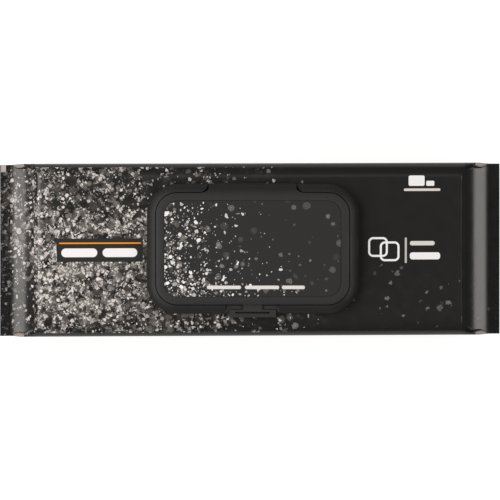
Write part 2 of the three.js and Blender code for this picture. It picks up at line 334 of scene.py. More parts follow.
def film_wave(place, station, z):
    """The film lies a little uneven over the wipes, and flat where the closure is glued on."""
    along, across = place
    past_glue = max(abs(station.place - cap_middle_x) - glued_half_size[0], abs(across) - glued_half_size[1])
    free = min(1, max(past_glue, 0) / wave_fade) if z > 0 else 1
    calm = min(1, max(0, station.half_height - wave_free_height) / (wave_full_height - wave_free_height))
    slow = noise.noise(Vector((along / slow_wave_pitch[0], across / slow_wave_pitch[1], 1.7)))
    quick = noise.noise(Vector((along / quick_wave_pitch[0], across / quick_wave_pitch[1], 8.3)))
    rise = (slow_wave_depth * slow + quick_wave_depth * quick) * free * calm
    return Vector((0, 0, -abs(rise) if z > 0 else abs(rise)))


def lay_askew(mesh):
    """Turns a soft body a little about the pack's middle, and spreads it across the pack."""
    for vertex in mesh.vertices:
        share = (film_high.x - vertex.co.x) / (2 * film_high.x)
        swell = right_swell + (left_swell - right_swell) * share
        vertex.co.y = vertex.co.y * (1 + swell) + askew_shift + askew_turn * vertex.co.x


def close_film(film):
    """Joins the web's two long edges at the back seam, and closes the tube's two ends."""
    make_active(film)
    bpy.ops.object.mode_set(mode="EDIT")
    bpy.ops.mesh.select_all(action="SELECT")
    bpy.ops.mesh.remove_doubles(threshold=1e-6)
    bpy.ops.mesh.select_all(action="DESELECT")
    bpy.ops.mesh.select_mode(type="EDGE")
    bpy.ops.mesh.select_non_manifold()
    bpy.ops.mesh.edge_face_add()
    bpy.ops.mesh.select_all(action="SELECT")
    bpy.ops.mesh.normals_make_consistent(inside=False)
    bpy.ops.object.mode_set(mode="OBJECT")


def make_film():
    right = half_stations(crisp_shoulder)
    left = [station._replace(place=-station.place) for station in half_stations(soft_shoulder)]
    stations = left[:0:-1] + right
    rings = [wrap_section(station) for station in stations]
    flat = unroll_web(stations, rings)
    columns = len(stations) - 1
    rows = len(rings[0]) - 1
    clear_selection()
    bpy.ops.mesh.primitive_grid_add(x_subdivisions=columns, y_subdivisions=rows, size=1, calc_uvs=True)
    film = name_piece("film")
    mesh = film.data
    for vertex in mesh.vertices:
        column = round((vertex.co.x + 0.5) * columns)
        row = round((vertex.co.y + 0.5) * rows)
        station = stations[column]
        y, z = rings[column][row]
        vertex.co = (station.place, y, film_middle_z + z + station.lift)
        vertex.co += film_wave(flat[column, row], station, z)
    lay_askew(mesh)
    web = mesh.uv_layers[0]
    web.name = "web"
    for loop in mesh.loops:
        row, column = divmod(loop.vertex_index, columns + 1)
        web.data[loop.index].uv = flat[column, row]
    close_film(film)
    return film


film = make_film()
apply_modifier(film, "SOLIDIFY", thickness=film_thickness, offset=-1)
mouth = add_rounded_slab("mouth", mouth_size, mouth_radius, film_high.z - 2 * overcut, film_high.z + overcut)
combine(film, mouth, "DIFFERENCE")
shade(film, 34)
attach(film, "pack")
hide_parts("film_wrap")


# Black gravure-printed laminate with a satin outer ply. The flecks are translucent warm grey ink, thick at
# the left and thinning to the right, and the print stops short of the long edges.
film_black = "#20201f"
# painted shade: the fins are drawn in a darker black than the rest of the film
fin_painted_shade_black = "#050505"
# painted highlight: the light grey of the tucks' tips stands in for a glint
tuck_tip_painted_glint = "#a39c97"
fleck_ink = "#dcd8d5"
dim_ink = "#8a8580"
panel_black = "#2c2c2b"
stripe_orange = "#eb941a"
mark_white = "#e5e6e7"
mark_grey = "#cfccc8"
print_half_width = 0.0504
print_edge = 0.0001             # softness of a printed bar's edge
fin_on_web = max(corner.vector[0] for corner in film.data.uv_layers["web"].uv) - film_high.x + fin_inner_x
seam_edge_on_web = 0.1383       # the folded-down back seam reaches this far from the top's middle line
underside_panel = (0.0, 0.1205)
underside_panel_size = (0.176, 0.024)
underside_lines = 4
underside_line_pitch = 0.005
turn_per_spacing = 400          # radians for each metre of a layer's spacing, so that no two layers line up
mix_share, mix_under, mix_over = 0, 6, 7    # sockets of a Mix node that mixes colours

# Each mark is a plain bar with a middle on the web, a size, a corner radius and a colour, and where only its
# outline is printed a line width. The eye mark shows the packing machine where to cut the web.
left_marks = (((-0.0903, -0.0001), (0.0518, 0.0139), 0.0006, panel_black),
              ((-0.0901, 0.0041), (0.0493, 0.0008), 0.0002, stripe_orange),
              ((-0.1026, -0.0016), (0.0216, 0.0052), 0.0026, mark_white),           # two pills
              ((-0.0782, -0.0016), (0.0208, 0.0052), 0.0026, mark_white),
              ((-fin_on_web - 0.0046, 0.0487), (0.003, 0.0042), 0.0002, "#b0aaa6"))  # eye mark on the fin
right_marks = (((0.1, 0.0408), (0.0096, 0.0062), 0.001, mark_white),                # two blocks
               ((0.1082, 0.0392), (0.0048, 0.003), 0.0006, mark_white),
               ((0.1033, 0.0354), (0.0219, 0.0015), 0.0007, mark_grey),             # line under them
               ((0.0768, 0.0012), (0.0118, 0.0118), 0.003, mark_white, 0.0012),     # two linked outlines
               ((0.0838, -0.0014), (0.0118, 0.0118), 0.003, mark_white, 0.0012),
               ((0.0935, -0.0008), (0.0012, 0.0152), 0.0005, "#b9b5b1"),            # upright rule
               ((0.1034, 0.0034), (0.0149, 0.0026), 0.0013, mark_grey),             # two bars beside it
               ((0.105, -0.0042), (0.0182, 0.0042), 0.0016, mark_white))

# Each layer of flecks has one spacing, a smallest and biggest radius, a faintest and strongest ink, and how
# much stronger the ink is at the rim and at the core.
dim_flecks = ((0.0068, 0.0011, 0.0031, 0.05, 0.32, 0.5, 0.6),
              (0.0044, 0.0006, 0.0022, 0.06, 0.45, 0.5, 0.6),
              (0.0031, 0.0004, 0.0014, 0.04, 0.5, 0.3, 0.4))
bright_flecks = ((0.0033, 0.0005, 0.0016, 0.06, 0.55, 0.3, 0.0),
                 (0.0025, 0.0004, 0.0013, 0.1, 0.95, 0.0, 0.0),
                 (0.0017, 0.0002, 0.0008, 0.15, 0.95, 0.0, 0.0),
                 (0.0012, 0.0001, 0.0004, 0.1, 0.7, 0.0, 0.0))


def add_flecks(tree, under, place, density, colour, layers):
    """Prints layers of round see-through flecks over the colour under them. Each fleck has its own size and
    strength, and density is the share of places that has one."""
    for spacing, smallest, biggest, faintest, strongest, rim, core in layers:
        turned = add_node(tree, "VectorRotate", place, named={"Angle": spacing * turn_per_spacing},
                          rotation_type="Z_AXIS")
        cells = add_node(tree, "TexVoronoi", turned, named={"Scale": 1 / spacing},
                         voronoi_dimensions="2D").node
        chances = add_node(tree, "SeparateColor", cells.outputs["Color"]).node
        present = add_node(tree, "Math", chances.outputs[0], density, operation="LESS_THAN")
        radius = add_node(tree, "MapRange", chances.outputs[1], 0.0, 1.0,
                          smallest / spacing, biggest / spacing)
        share = add_node(tree, "Math", cells.outputs["Distance"], radius, operation="DIVIDE")
        body = add_node(tree, "MapRange", share, 1.0, 0.8, 0.0, 1.0, interpolation_type="SMOOTHSTEP")
        strength = add_node(tree, "MapRange", chances.outputs[2], 0.0, 1.0, faintest, strongest)
        edge = add_node(tree, "MapRange", share, 0.5, 0.9, 1.0, 1.0 + rim)
        middle = add_node(tree, "MapRange", share, 0.1, 0.4, 1.0 + core, 1.0)
        ink = add_node(tree, "Math", body, strength, operation="MULTIPLY")
        for factor in (edge, middle):
            ink = add_node(tree, "Math", ink, factor, operation="MULTIPLY")
        ink = add_node(tree, "Math", ink, present, operation="MULTIPLY", use_clamp=True)
        under = add_node(tree, "Mix", named={mix_share: ink, mix_under: under, mix_over: linear(colour)},
                         data_type="RGBA")
    return under


def roughen_place(tree, place, scale, reach):
    """Shifts each place a little by a fine noise, so that the flecks' edges turn out uneven."""
    fine = add_node(tree, "TexNoise", place, named={"Scale": scale, "Detail": 1.0},
                    noise_dimensions="2D").node
    shift = add_node(tree, "VectorMath", fine.outputs["Color"], (0.5, 0.5, 0.5), operation="SUBTRACT")
    shift = add_node(tree, "VectorMath", shift, named={"Scale": reach}, operation="SCALE")
    return add_node(tree, "VectorMath", place, shift, operation="ADD")


def add_bar(tree, under, place, middle, size, radius, colour, line=0.0):
    """Prints a plain bar with rounded corners, or only its outline where a line width is given."""
    offset = add_node(tree, "VectorMath", place, (*middle, 0), operation="SUBTRACT")
    offset = add_node(tree, "VectorMath", offset, operation="ABSOLUTE")
    corner = (size[0] / 2 - radius, size[1] / 2 - radius, 0)
    offset = add_node(tree, "VectorMath", offset, corner, operation="SUBTRACT")
    offset = add_node(tree, "VectorMath", offset, (0, 0, 0), operation="MAXIMUM")
    distance = add_node(tree, "VectorMath", offset, operation="LENGTH").node.outputs["Value"]
    ink = add_node(tree, "MapRange", distance, radius + print_edge, radius - print_edge, 0.0, 1.0)
    if line:
        inner = radius - line
        hollow = add_node(tree, "MapRange", distance, inner - print_edge, inner + print_edge, 0.0, 1.0)
        ink = add_node(tree, "Math", ink, hollow, operation="MULTIPLY")
    return add_node(tree, "Mix", named={mix_share: ink, mix_under: under, mix_over: linear(colour)},
                    data_type="RGBA")


def fleck_densities(tree, web):
    """The shares of places with a faint and with a bright fleck, and the distance from the pack's middle."""
    split = add_node(tree, "SeparateXYZ", web).node
    along, across = split.outputs[0], split.outputs[1]
    length = add_node(tree, "Math", along, operation="ABSOLUTE")
    width = add_node(tree, "Math", across, operation="ABSOLUTE")
    inside = add_node(tree, "Math", width, print_half_width, operation="LESS_THAN")

    # Fewer flecks on the sloping ends and on the fins. They are thickest a little in front of the middle,
    # and a little behind it on the sloping ends.
    slope_start, slope_full = shoulder_x - 0.002, shoulder_x + 0.004
    ends = add_node(tree, "MapRange", length, slope_start, slope_full, 1.0, 0.38)
    fins = add_node(tree, "MapRange", length, fin_on_web, fin_on_web + 0.001, 1.0, 0.75)
    thickest = add_node(tree, "MapRange", length, slope_start, slope_full, 0.012, -0.018)
    beside = add_node(tree, "Math", across, thickest, operation="ADD")
    beside = add_node(tree, "Math", beside, operation="ABSOLUTE")
    spread = add_node(tree, "MapRange", beside, 0.0, 0.04, 2.25, 0.55)
    clump = add_node(tree, "TexNoise", web, named={"Scale": 95.0, "Detail": 2.0}, noise_dimensions="2D")
    share = add_node(tree, "MapRange", clump, 0.36, 0.64, 0.5, 1.25)
    for factor in (inside, ends, fins, spread):
        share = add_node(tree, "Math", share, factor, operation="MULTIPLY")

    # Dense at the left end, then a trail that reaches further right along the front edge, then thin flecks,
    # and sparse ones in the front half as far as the right end.
    drift = add_node(tree, "TexNoise", web, named={"Scale": 34.0, "Detail": 3.0}, noise_dimensions="2D")
    wander = add_node(tree, "MapRange", drift, 0.3, 0.7, -0.026, 0.026, clamp=False)
    place = add_node(tree, "Math", along, wander, operation="ADD")
    dense = add_node(tree, "MapRange", place, -0.1, -0.055, 0.42, 0.0)
    front = add_node(tree, "MapRange", across, -0.03, -0.04, 0.0, 0.016)
    front = add_node(tree, "Math", place, front, operation="SUBTRACT")
    trail = add_node(tree, "MapRange", front, -0.05, 0.006, 0.25, 0.0)
    thick = add_node(tree, "Math", dense, trail, operation="ADD")
    thin = add_node(tree, "MapRange", place, -0.05, 0.03, 0.22, 0.0)
    sparse = add_node(tree, "MapRange", across, 0.0, -0.03, 0.0, 0.035)
    faint = add_node(tree, "Math", thick, thin, operation="ADD")
    faint = add_node(tree, "Math", faint, sparse, operation="ADD")
    faint = add_node(tree, "Math", faint, share, operation="MULTIPLY")
    cluster = add_node(tree, "TexNoise", web, named={"Scale": 210.0, "Detail": 2.0}, noise_dimensions="2D")
    cluster = add_node(tree, "MapRange", cluster, 0.42, 0.62, 0.1, 1.7)
    bright = add_node(tree, "Math", thick, share, operation="MULTIPLY")
    bright = add_node(tree, "Math", bright, cluster, operation="MULTIPLY")
    return faint, bright, length


def print_speckle(tree, web):
    """A thin grey veil and the flecks over the black, and a darker black painted on the fins as shade."""
    faint, bright, length = fleck_densities(tree, web)
    rough = roughen_place(tree, web, 620.0, 0.0018)
    veil = add_node(tree, "TexNoise", web, named={"Scale": 170.0, "Detail": 6.0}, noise_dimensions="2D")
    veil = add_node(tree, "MapRange", veil, 0.42, 0.72, 0.0, 0.3)
    veil = add_node(tree, "Math", veil, faint, operation="MULTIPLY")
    colour = add_node(tree, "Mix", data_type="RGBA", named={
        mix_share: veil, mix_under: linear(film_black), mix_over: linear(dim_ink)})
    colour = add_flecks(tree, colour, rough, faint, dim_ink, dim_flecks)
    colour = add_flecks(tree, colour, rough, bright, fleck_ink, bright_flecks)
    # Painted shade: the fins and their flecks are mixed towards a near-black.
    fin_painted_shade = add_node(tree, "MapRange", length, fin_on_web, fin_on_web + 0.0008, 0.0, 0.55)
    return add_node(tree, "Mix", data_type="RGBA", named={
        mix_share: fin_painted_shade, mix_under: colour, mix_over: linear(fin_painted_shade_black)})


def print_underside(tree, colour, web):
    """A pale panel with plain lines under the pack, the shadow line at the back seam's edges, and a painted
    highlight: a light grey patch at the tips of the tucks, standing in for their glint."""
    colour = add_bar(tree, colour, web, underside_panel, underside_panel_size, 0.002, "#cbc7c2")
    for row in range(underside_lines):
        line_y = underside_panel[1] + (underside_lines - 1 - 2 * row) / 2 * underside_line_pitch
        colour = add_bar(tree, colour, web, (-0.028, line_y), (0.1, 0.0014), 0.0007, "#4a4744")
    both_sides = add_node(tree, "VectorMath", web, operation="ABSOLUTE")
    tuck_tip = (fin_on_web - 0.0056, 0.0955)
    colour = add_bar(tree, colour, both_sides, (0, seam_edge_on_web), (0.5, 0.0006), 0.0002, "#080808")
    # Painted highlight: a light grey patch at each tuck's tip.
    return add_bar(tree, colour, both_sides, tuck_tip, (0.0125, 0.0076), 0.0012, tuck_tip_painted_glint)


def make_film_material():
    """Reverse-printed laminate: ink under a satin outer ply that mirrors lamps softly and unevenly."""
    made, tree = new_material("printed satin laminate film")
    web = add_node(tree, "UVMap", uv_map="web")
    colour = print_speckle(tree, web)
    for mark in left_marks + right_marks:
        colour = add_bar(tree, colour, web, *mark)
    colour = print_underside(tree, colour, web)
    uneven = add_node(tree, "TexNoise", web, named={"Scale": 120.0, "Detail": 3.0}, noise_dimensions="2D")
    roughness = add_node(tree, "MapRange", uneven, 0.2, 0.8, 0.19, 0.24)
    grain = add_node(tree, "TexNoise", web, named={"Scale": 2600.0, "Detail": 1.0}, noise_dimensions="2D")
    bump = add_node(tree, "Bump", named={"Strength": 0.12, "Distance": 0.00005, "Height": grain})
    shader = add_node(tree, "BsdfPrincipled", named={
        "Base Color": colour, "Roughness": roughness, "IOR": 1.5, "Normal": bump})
    finish_material(tree, shader)
    return made


give_finish(film, make_film_material())


# Folded wipes
# The block of interleaved nonwoven wipes, each folded with its fold at one long side, stacked and pressed
# together. Near the top and bottom the stack is narrower, as the wrap rounds its edges.
stack_low, stack_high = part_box("wipes_stack")
wipe_layers = 40
layer_gap = 0.00004
stack_corner_radius = 0.0085
side_unevenness = 0.0004
end_unevenness = 0.0007
fold_segments = 3
fold_share = 0.48               # of a layer's height, as the radius of its fold
dot_pitch = 0.0024


def half_width_at(z):
    from_face = min(z - stack_low.z, stack_high.z - z)
    into_corner = max(stack_corner_radius - from_face, 0)
    narrowing = stack_corner_radius - math.sqrt(stack_corner_radius ** 2 - into_corner ** 2)
    return stack_high.y - narrowing


def make_wipes_stack():
    random.seed(4)
    pitch = (stack_high.z - stack_low.z) / wipe_layers
    layers = []
    for layer in range(wipe_layers):
        bottom = stack_low.z + layer * pitch
        top = bottom + pitch - layer_gap
        half_width = min(half_width_at(bottom), half_width_at(top)) - random.uniform(0, side_unevenness)
        end = stack_high.x - random.uniform(0, end_unevenness)
        wipe = add_slab("wipe", (-end, -half_width, bottom), (end, half_width, top))
        bpy.ops.object.mode_set(mode="EDIT")
        fold_side = (-1) ** layer
        select_parts(wipe, "EDGE", lambda a, b: a.y * fold_side > 0 and abs(a.x - b.x) > stack_high.x)
        bpy.ops.mesh.bevel(offset=pitch * fold_share, segments=fold_segments, affect="EDGES")
        bpy.ops.object.mode_set(mode="OBJECT")
        layers.append(wipe)
    clear_selection()
    for wipe in layers:
        wipe.select_set(True)
    bpy.context.view_layer.objects.active = layers[0]
    bpy.ops.object.join()
    return name_piece("folded_wipes")


def make_nonwoven_material():
    """Wet spunlace nonwoven: white, matte and slightly see-through, with fine fibres and rows of embossed
    dots that dimple the cloth."""
    made, tree = new_material("wet spunlace nonwoven")
    place = add_node(tree, "TexCoord").node.outputs["Object"]
    fibres = add_node(tree, "TexNoise", place, named={"Scale": 1400.0, "Detail": 4.0, "Distortion": 1.2})
    dots = add_node(tree, "TexVoronoi", place, named={"Scale": 1 / dot_pitch, "Randomness": 0.0},
                    voronoi_dimensions="2D")
    dimple = add_node(tree, "MapRange", dots, 0.18, 0.34, 0.0, 1.0, interpolation_type="SMOOTHSTEP")
    height = add_node(tree, "MapRange", fibres, 0.3, 0.7, 0.0, 0.35)
    height = add_node(tree, "Math", height, dimple, operation="ADD")
    bump = add_node(tree, "Bump", named={"Strength": 0.6, "Distance": 0.00015, "Height": height})
    tone = add_node(tree, "MapRange", fibres, 0.3, 0.7, 0.0, 1.0)
    tone = add_node(tree, "Math", tone, dimple, operation="MULTIPLY")
    base = add_node(tree, "Mix", data_type="RGBA", named={
        mix_share: tone, mix_under: linear("#d9dbd8"), mix_over: linear("#f2f2ee")})
    shader = add_node(tree, "BsdfPrincipled", named={
        "Base Color": base, "Roughness": 0.62, "IOR": 1.4, "Subsurface Weight": 0.15,
        "Subsurface Radius": (0.001, 0.001, 0.001), "Subsurface Scale": 1.0, "Normal": bump})
    finish_material(tree, shader)
    return made


nonwoven = make_nonwoven_material()
stack = make_wipes_stack()
lay_askew(stack.data)
shade(stack, 30)
give_finish(stack, nonwoven)
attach(stack, "pack")
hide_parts("wipes_stack")


# Next wipe
# The wipe on top of the stack, folded in half with the fold at the front. Its middle was pulled up through
# the mouth as the last one came out, and stands there in soft crumples.
wipe_low, wipe_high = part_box("top_wipe")
wipe_flat = (wipe_high.x - wipe_low.x, 2 * (wipe_high.y - wipe_low.y))
wipe_columns = 150
wipe_rows = 132
ply_thickness = 0.00024
plate_thickness = 0.0008        # of the two plies lying flat
fold_reach = 0.01               # part of the cloth's width, on each side of the fold, that turns over
peak_size = (0.036, 0.02)
peak_flat_share = (0.35, 0.2)   # part of the peak, along and across, that is pulled up all the way
peak_fullness = 0.45
ridge_fullness = 0.5
fold_fullness = 0.3
crumple_pitch = 0.0062
ridge_stretch = 1.6
ply_lift = (0.9, 1.0)           # of the lower and of the upper ply, as shares of the lift
sway_reach = (0.003, 0.0018)


def smooth_share(value):
    value = min(max(value, 0), 1)
    return value * value * (3 - 2 * value)


def pulled_up(x, y):
    """How far the cloth is pulled up at this place, from 0 to 1."""
    pull = 1
    for offset, size, flat in zip((x - cap_middle_x, y), peak_size, peak_flat_share):
        pull *= 1 - smooth_share((abs(offset) / size * 2 - flat) / (1 - flat))
    return pull


def make_top_wipe():
    clear_selection()
    bpy.ops.mesh.primitive_grid_add(x_subdivisions=wipe_columns, y_subdivisions=wipe_rows, size=1)
    wipe = name_piece("next_wipe")
    base = wipe_low.z + ply_thickness
    spread = plate_thickness - 2 * ply_thickness
    peak_rise = wipe_high.z - wipe_low.z - plate_thickness - ply_thickness
    for vertex in wipe.data.vertices:
        x = vertex.co.x * wipe_flat[0]
        round_way = vertex.co.y * 2
        upper = smooth_share((round_way + fold_reach) / (2 * fold_reach))
        y = wipe_low.y + abs(round_way) * (wipe_high.y - wipe_low.y)
        pull = pulled_up(x, y)
        fold = noise.noise(Vector((x / crumple_pitch, y / crumple_pitch, 2.5)))
        crease = noise.noise(Vector((x / crumple_pitch / ridge_stretch, y / crumple_pitch, 6.1)))
        ridge = 1 - abs(crease) * 2
        fullness = peak_fullness + ridge_fullness * ridge * pull + fold_fullness * fold
        lift = min(pull * peak_rise * fullness, peak_rise)
        lift *= ply_lift[0] + (ply_lift[1] - ply_lift[0]) * upper
        sway = pull * (1 - pull) * fold
        vertex.co = (x + sway * sway_reach[0], y + sway * sway_reach[1], base + spread * upper + lift)
    apply_modifier(wipe, "SOLIDIFY", thickness=ply_thickness, offset=0)
    shade(wipe, 60)
    return wipe


top_wipe = make_top_wipe()
give_finish(top_wipe, nonwoven)
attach(top_wipe, "pack")
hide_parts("top_wipe")


# Hot-melt ring
# The adhesive bead that fixes the closure to the film round the mouth, squeezed flat. The frame's own solid
# has its shape, so it only gets its finish.
def make_hot_melt_material():
    """Hot-melt adhesive: amber-cream, glossy where it squeezed out, and uneven in tone."""
    made, tree = new_material("hot-melt adhesive")
    place = add_node(tree, "TexCoord").node.outputs["Object"]
    cloud = add_node(tree, "TexNoise", place, named={"Scale": 240.0, "Detail": 3.0})
    base = add_node(tree, "Mix", data_type="RGBA", named={
        mix_share: cloud, mix_under: linear("#cbbd92"), mix_over: linear("#e2d8b8")})
    bump = add_node(tree, "Bump", named={"Strength": 0.4, "Distance": 0.0002, "Height": cloud})
    shader = add_node(tree, "BsdfPrincipled", named={
        "Base Color": base, "Roughness": 0.3, "IOR": 1.48, "Normal": bump})
    finish_material(tree, shader)
    return made


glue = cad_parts["glue_ring"]
give_finish(glue, make_hot_melt_material())


# Moulded closure base
# Injection-moulded black polypropylene, glued round the film's mouth: a rim with a rounded crown, a sunken
# deck, a low collar round the mouth that the lid seals on, and a recess with a catch rib at the front.
cap_size = (0.127, 0.078)
cap_corner_radius = 0.0183
cap_base = 0.051
cap_top = 0.06
cap_wall = 0.0012
moulded_edge = 0.00022          # rounding of the mould's sharp edges
crown_reach = 0.0092
crown_rise = 0.007
crown_steps = 14
rim_width = 0.0052
seam_gap = 0.0005
contact_gap = 0.0003
deck_mouth_size = (0.068, 0.038)
deck_mouth_radius = 0.014
collar_wall = 0.0012
collar_height = 0.002
tongue_width = 0.0533
shoulder_radius = 0.005
shoulder_segments = 8
seam_corner_segments = 16
recess_width = 0.033
recess_shelf = 0.0056           # height of the recess's floor, over cap_base, round the thumb bar
recess_floor = 0.0028           # and right under the bar
neck_width = 0.0118
bar_width = 0.028
bar_depth = 0.0046
bar_height = 0.0026
bar_overhang = 0.0022
bar_drop = 0.0022
catch_size = (0.0204, 0.001)
catch_depth = 0.0023            # from the thumb bar's top down to the catch rib in its slot
cap_front = -cap_size[1] / 2
slot_middle = cap_front + 0.0006
seam_rear = cap_size[1] / 2 - rim_width
deck_top = cap_base + cap_wall
above_cap = cap_top + overcut


def add_cap_slab(name, half_length, front, rear, bottom, top):
    """A slab centred on the closure along the pack."""
    return add_slab(name, (cap_middle_x - half_length, front, bottom),
                    (cap_middle_x + half_length, rear, top))


def add_cap_form(name, inset, bottom):
    """The closure's outer form, or the same form a wall's thickness further in, down to a given height."""
    size = [side - 2 * inset for side in cap_size]
    foot = cap_top - crown_rise - inset / 2
    form = add_rounded_slab(name, size, cap_corner_radius - inset, bottom, foot)
    reach = crown_reach - inset
    rise = crown_rise - inset / 2
    bpy.ops.object.mode_set(mode="EDIT")
    select_parts(form, "FACE", lambda centre, normal: normal.z > 0.9)
    before = (0, 0)
    for step in range(1, crown_steps + 1):
        turn = step / crown_steps * math.pi / 2
        now = (reach * (1 - math.cos(turn)), rise * math.sin(turn))
        bpy.ops.mesh.inset(thickness=now[0] - before[0], depth=now[1] - before[1])
        before = now
    bpy.ops.object.mode_set(mode="OBJECT")
    return form


def add_seam_form(name, grow, bottom, top, rear=cap_size[1] / 2 + overcut):
    """The lid's outline in plan as an upright form: the seam's rounded rectangle with the rear tongue."""
    half_x = cap_size[0] / 2 - rim_width + grow
    half_y = seam_rear + grow
    half_tongue = tongue_width / 2 + grow
    form = add_cap_slab(name, half_x, -half_y, half_y, bottom, top)
    bpy.ops.object.mode_set(mode="EDIT")
    for side in (-half_tongue, half_tongue):
        bpy.ops.mesh.select_all(action="SELECT")
        bpy.ops.mesh.bisect(plane_co=(cap_middle_x + side, 0, 0), plane_no=(1, 0, 0))
    select_parts(form, "FACE", lambda centre, normal: (
        normal.y > 0.9 and abs(centre.x - cap_middle_x) < half_tongue))
    bpy.ops.mesh.extrude_region_move(TRANSFORM_OT_translate={"value": (0, rear - half_y, 0)})

    def outer_corner(a, b):
        return upright(a, b) and abs(a.x - cap_middle_x) > half_x - 1e-5

    def shoulder(a, b):
        beside_tongue = abs(abs(a.x - cap_middle_x) - half_tongue) < 1e-5
        return upright(a, b) and beside_tongue and abs(a.y - half_y) < 1e-5

    select_parts(form, "EDGE", outer_corner)
    bpy.ops.mesh.bevel(offset=cap_corner_radius - rim_width + grow, segments=seam_corner_segments,
                       affect="EDGES")
    select_parts(form, "EDGE", shoulder)
    bpy.ops.mesh.bevel(offset=shoulder_radius - grow, segments=shoulder_segments, affect="EDGES")
    bpy.ops.object.mode_set(mode="OBJECT")
    return form


def soften(piece, width, degrees=40):
    """Rounds the moulded edges a little, so that they catch the light."""
    apply_modifier(piece, "BEVEL", width=width, segments=2, limit_method="ANGLE",
                   angle_limit=math.radians(degrees), use_clamp_overlap=True, miter_outer="MITER_ARC")


def add_cap_ring(name, size, radius, thickness, bottom, top):
    """An upright wall round an opening of this size."""
    outer = [side + 2 * thickness for side in size]
    ring = add_rounded_slab(name, outer, radius + thickness, bottom, top)
    hole = add_rounded_slab("hole", size, radius, bottom - overcut, top + overcut)
    combine(ring, hole, "DIFFERENCE")
    return ring


def make_cap_frame():
    base = add_cap_form("cap_base_moulding", 0, cap_base)
    combine(base, add_seam_form("lid space", seam_gap / 2, deck_top, above_cap), "DIFFERENCE")
    well_rear = cap_front - bar_overhang + bar_depth + contact_gap
    shelf_rear = -seam_rear + cap_wall
    for name, width, rear, floor in (("recess", recess_width, shelf_rear, recess_shelf),
                                     ("bar well", bar_width + 2 * contact_gap, well_rear, recess_floor),
                                     ("neck well", neck_width + 2 * contact_gap, shelf_rear, recess_floor)):
        space = add_cap_slab(name, width / 2, 2 * cap_front, rear, cap_base + floor, above_cap)
        combine(base, space, "DIFFERENCE")
    collar = add_cap_ring("collar", deck_mouth_size, deck_mouth_radius, collar_wall,
                          deck_top - cap_wall / 2, deck_top + collar_height)
    combine(base, collar, "UNION")
    mouth = add_rounded_slab("mouth", deck_mouth_size, deck_mouth_radius, cap_base - overcut, above_cap)
    combine(base, mouth, "DIFFERENCE")
    half_width = catch_size[1] / 2 - contact_gap
    rib = add_cap_slab("rib", catch_size[0] / 2 - contact_gap, slot_middle - half_width,
                       slot_middle + half_width, cap_base + recess_floor - cap_wall,
                       cap_top - bar_drop - catch_depth)
    combine(base, rib, "UNION")
    soften(base, moulded_edge)
    shade(base, 30)
    return base


def make_moulded_material(name, colour, roughness):
    """Polypropylene from a spark-eroded mould: a fine matte grain and a soft broad sheen."""
    made, tree = new_material(name)
    place = add_node(tree, "TexCoord").node.outputs["Object"]
    cloud = add_node(tree, "TexNoise", place, named={"Scale": 55.0, "Detail": 2.0})
    tone = add_node(tree, "MapRange", cloud, 0.3, 0.7, 0.94, 1.06)
    base = add_node(tree, "HueSaturation", named={"Value": tone, "Color": linear(colour)})
    grain = add_node(tree, "TexNoise", place, named={"Scale": 2200.0, "Detail": 2.0})
    bump = add_node(tree, "Bump", named={"Strength": 0.35, "Distance": 0.00006, "Height": grain})
    shine = add_node(tree, "MapRange", cloud, 0.3, 0.7, roughness - 0.03, roughness + 0.03)
    shader = add_node(tree, "BsdfPrincipled", named={
        "Base Color": base, "Roughness": shine, "IOR": 1.49, "Specular IOR Level": 0.52, "Normal": bump})
    finish_material(tree, shader)
    return made


cap_black = make_moulded_material("moulded black polypropylene", "#101010", 0.64)
cap_frame = make_cap_frame()
give_finish(cap_frame, cap_black)
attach(cap_frame, "pack")
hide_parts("cap_frame")


# Moulded lid
# The same black polypropylene, 1.2 mm thick: a shell with a rounded crown, a tongue at the rear that carries
# the hinge, a sealing ring underneath, and a neck and thumb bar at the front that snap over the catch rib.
skirt_bottom = cap_base + 0.004
hinge_line = cap_base + 0.0018
swing_lean = 1.6
seal_wall = 0.001
seal_clearance = 0.0004
lip_height = 0.0044
label_size = (0.1059, 0.0576)
label_radius = 0.0086
label_thickness = 0.0003


def cut_swing_relief(lid):
    """Undercuts the lid's rear edge beside the tongue, leaning forward as it goes down, to swing clear."""
    crown_share = (crown_reach - rim_width) / crown_reach
    crown_at_seam = cap_top - crown_rise + crown_rise * math.sqrt(1 - crown_share ** 2)
    relief = add_cap_slab("relief", cap_size[0], seam_rear - cap_corner_radius, 2 * cap_size[1],
                          cap_base, cap_top)
    rear = 2 * cap_size[1] + overcut
    tongue = add_seam_form("tongue", -seam_gap / 2, cap_base - overcut, cap_top + overcut, rear)
    combine(relief, tongue, "DIFFERENCE")
    for vertex in relief.data.vertices:
        vertex.co.y += swing_lean * (vertex.co.z - crown_at_seam)
    combine(lid, relief, "DIFFERENCE")


def add_thumb_bar(lid):
    top = cap_top - bar_drop
    front = cap_front - bar_overhang
    shell_front = -seam_rear + seam_gap
    bar = add_cap_slab("bar", bar_width / 2, front, front + bar_depth, top - bar_height, top)
    lip = add_cap_slab("lip", bar_width / 2, front, cap_front - contact_gap, top - lip_height,
                       top - bar_height / 2)
    combine(bar, lip, "UNION")
    neck = add_cap_slab("neck", neck_width / 2, front + bar_depth / 2, shell_front + cap_wall,
                        top - bar_height, top)
    combine(bar, neck, "UNION")
    slot = add_cap_slab("slot", catch_size[0] / 2, slot_middle - catch_size[1] / 2,
                        slot_middle + catch_size[1] / 2, top - bar_height - overcut, top + overcut)
    combine(bar, slot, "DIFFERENCE")
    combine(lid, bar, "UNION")


